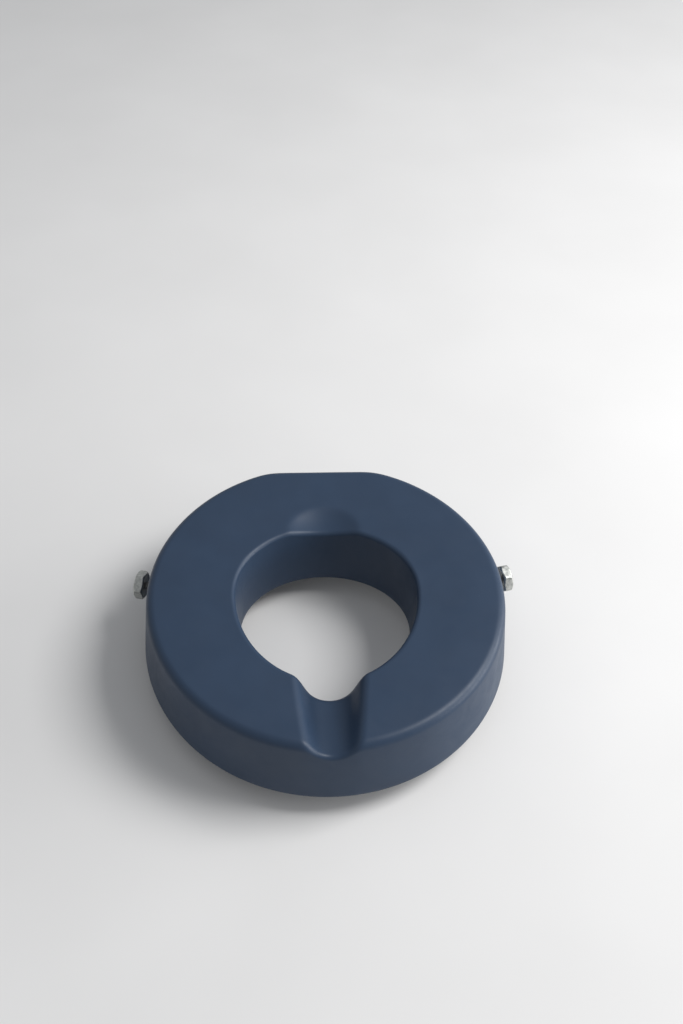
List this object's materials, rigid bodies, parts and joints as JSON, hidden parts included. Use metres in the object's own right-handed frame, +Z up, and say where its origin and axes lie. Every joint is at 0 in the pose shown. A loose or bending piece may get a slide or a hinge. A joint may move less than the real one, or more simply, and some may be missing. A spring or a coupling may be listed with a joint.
{
  "type": "raised toilet seat",
  "caption": "Padded ring that raises a toilet seat, with an egg-shaped opening, front groove, rear scoop and two screw-driven side clamps that grip the pan.",
  "frame": {"origin": "middle of the seat's plan, at the level of the top of the toilet pan's rim, where the rim pads rest", "axes": "+X to the right of a person sitting on it seen from the front of the toilet, +Y to the back (cistern), +Z up"},
  "size_m": [0.4436, 0.4167, 0.108],
  "materials": {
    "foam_skin": "satin integral-skin polyurethane foam, slate blue",
    "board": "fine moulded grain, charcoal",
    "rubber": "matt black moulded rubber",
    "galvanised_steel": "zinc-coated sheet, dull",
    "zinc_steel": "bright zinc plate",
    "knob_steel": "turned and satin zinc plate",
    "spring_steel": "oiled black spring steel",
    "sleeve_plastic": "moulded nylon, black"
  },
  "bodies": {
    "seat": {"seat_cushion": "foam_skin", "base_board": "board", "rim_pads": "rubber", "rail_screws": "zinc_steel", "clamp_rail_right": "galvanised_steel", "weld_nut_right": "zinc_steel", "screw_sleeve_right": "sleeve_plastic", "clamp_rail_left": "galvanised_steel", "weld_nut_left": "zinc_steel", "screw_sleeve_left": "sleeve_plastic"},
    "jaw_right": {"clamp_jaw_right": "galvanised_steel", "jaw_pad_right": "rubber", "jaw_rivets_right": "zinc_steel"},
    "screw_right": {"clamp_screw_right": "zinc_steel", "hex_knob_right": "knob_steel", "knob_fixing_screw_right": "zinc_steel", "thrust_washer_right": "zinc_steel", "retaining_clip_right": "spring_steel"},
    "jaw_left": {"clamp_jaw_left": "galvanised_steel", "jaw_pad_left": "rubber", "jaw_rivets_left": "zinc_steel"},
    "screw_left": {"clamp_screw_left": "zinc_steel", "hex_knob_left": "knob_steel", "knob_fixing_screw_left": "zinc_steel", "thrust_washer_left": "zinc_steel", "retaining_clip_left": "spring_steel"}
  },
  "joints": [
    {"name": "jaw_slide_right", "type": "slide", "parent": "seat", "child": "jaw_right", "axis": [-0.9744, -0.225, 0], "range_m": [-0.0085, 0.0045]},
    {"name": "screw_turn_right", "type": "hinge", "parent": "jaw_right", "child": "screw_right", "pos_m": [0.2131, 0.059, 0.034], "axis": [-0.9744, -0.225, 0], "range_deg": [-2041, 1081]},
    {"name": "jaw_slide_left", "type": "slide", "parent": "seat", "child": "jaw_left", "axis": [0.9744, -0.225, 0], "range_m": [-0.0085, 0.0045]},
    {"name": "screw_turn_left", "type": "hinge", "parent": "jaw_left", "child": "screw_left", "pos_m": [-0.2131, 0.059, 0.034], "axis": [0.9744, -0.225, 0], "range_deg": [-2041, 1081]}
  ],
  "couplings": [
    {"joint": "screw_turn_right", "follows": "jaw_slide_right", "rad_per_m": 4188.8},
    {"joint": "screw_turn_left", "follows": "jaw_slide_left", "rad_per_m": 4188.8}
  ]
}
